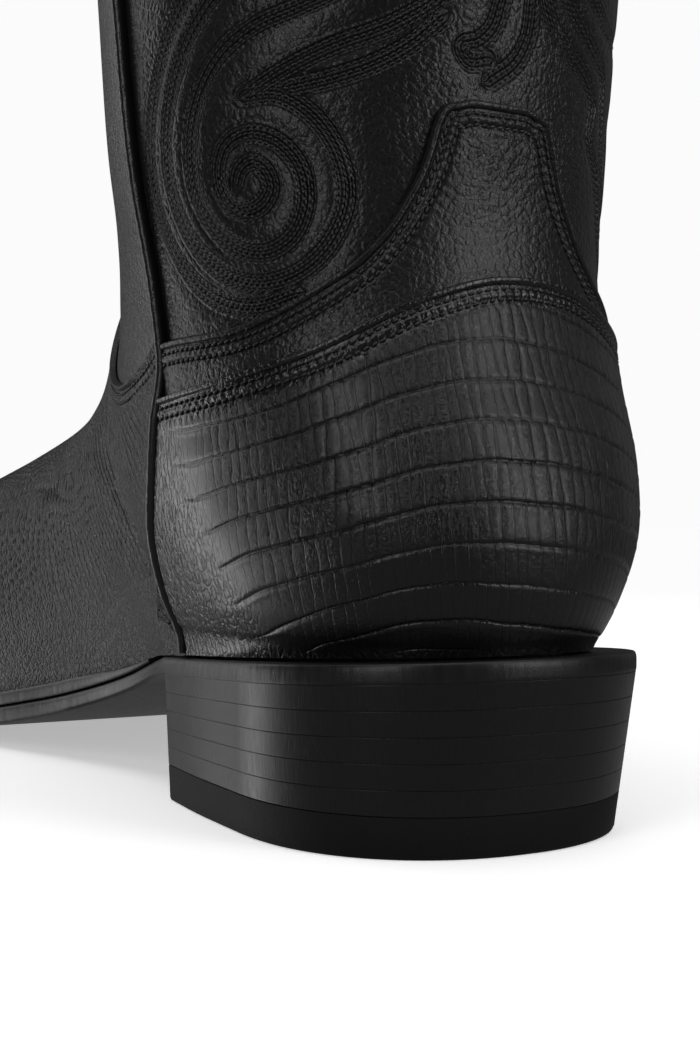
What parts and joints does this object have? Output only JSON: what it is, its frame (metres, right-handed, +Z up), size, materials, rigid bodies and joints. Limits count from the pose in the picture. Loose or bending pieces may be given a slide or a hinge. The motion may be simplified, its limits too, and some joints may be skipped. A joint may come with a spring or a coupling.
{
  "type": "cowboy boot",
  "caption": "Black western boot for the right foot: stitched leather shaft with foxing, lizard heel counter, grooved vamp, welted leather sole and stacked heel with a rubber top lift.",
  "frame": {"origin": "on the ground, in the middle of the boot's bounding box", "axes": "+Z up, toe towards -Y, medial side (towards the other foot) +X"},
  "size_m": [0.1206, 0.309, 0.3558],
  "materials": {
    "calf": "tumbled black calf, satin",
    "lizard": "black lizard, semi-gloss",
    "lining": "natural tan pigskin, matt",
    "fibreboard": "leather fibreboard",
    "cork": "ground cork",
    "sole_leather": "black waxed sole leather, burnished edge",
    "rubber": "matt black rubber",
    "steel": "plain steel",
    "brass": "plain brass"
  },
  "bodies": {
    "root": {"back_foxing": "calf", "back_lining": "lining", "cork_filler": "cork", "heel_counter": "lizard", "heel_lift_1": "sole_leather", "heel_lift_2": "sole_leather", "heel_lift_3": "sole_leather", "heel_lift_4": "sole_leather", "heel_lift_5": "sole_leather", "heel_nail_1": "steel", "heel_nail_2": "steel", "heel_nail_3": "steel", "heel_nail_4": "steel", "heel_nail_5": "steel", "heel_seat_packing": "fibreboard", "heel_stiffener": "fibreboard", "insole": "fibreboard", "outsole": "sole_leather", "piping_lateral": "calf", "piping_medial": "calf", "pull_strap_lateral": "calf", "pull_strap_medial": "calf", "shaft_back": "calf", "shaft_front": "calf", "shaft_front_lining": "lining", "shank": "steel", "sock_liner": "lining", "toe_box": "fibreboard", "top_binding_back": "calf", "top_binding_front": "calf", "top_lift": "rubber", "top_lift_brad_1": "brass", "top_lift_brad_2": "brass", "top_lift_brad_3": "brass", "top_lift_brad_4": "brass", "top_lift_brad_5": "brass", "vamp": "calf", "vamp_lining": "lining", "welt": "sole_leather"}
  },
  "joints": []
}
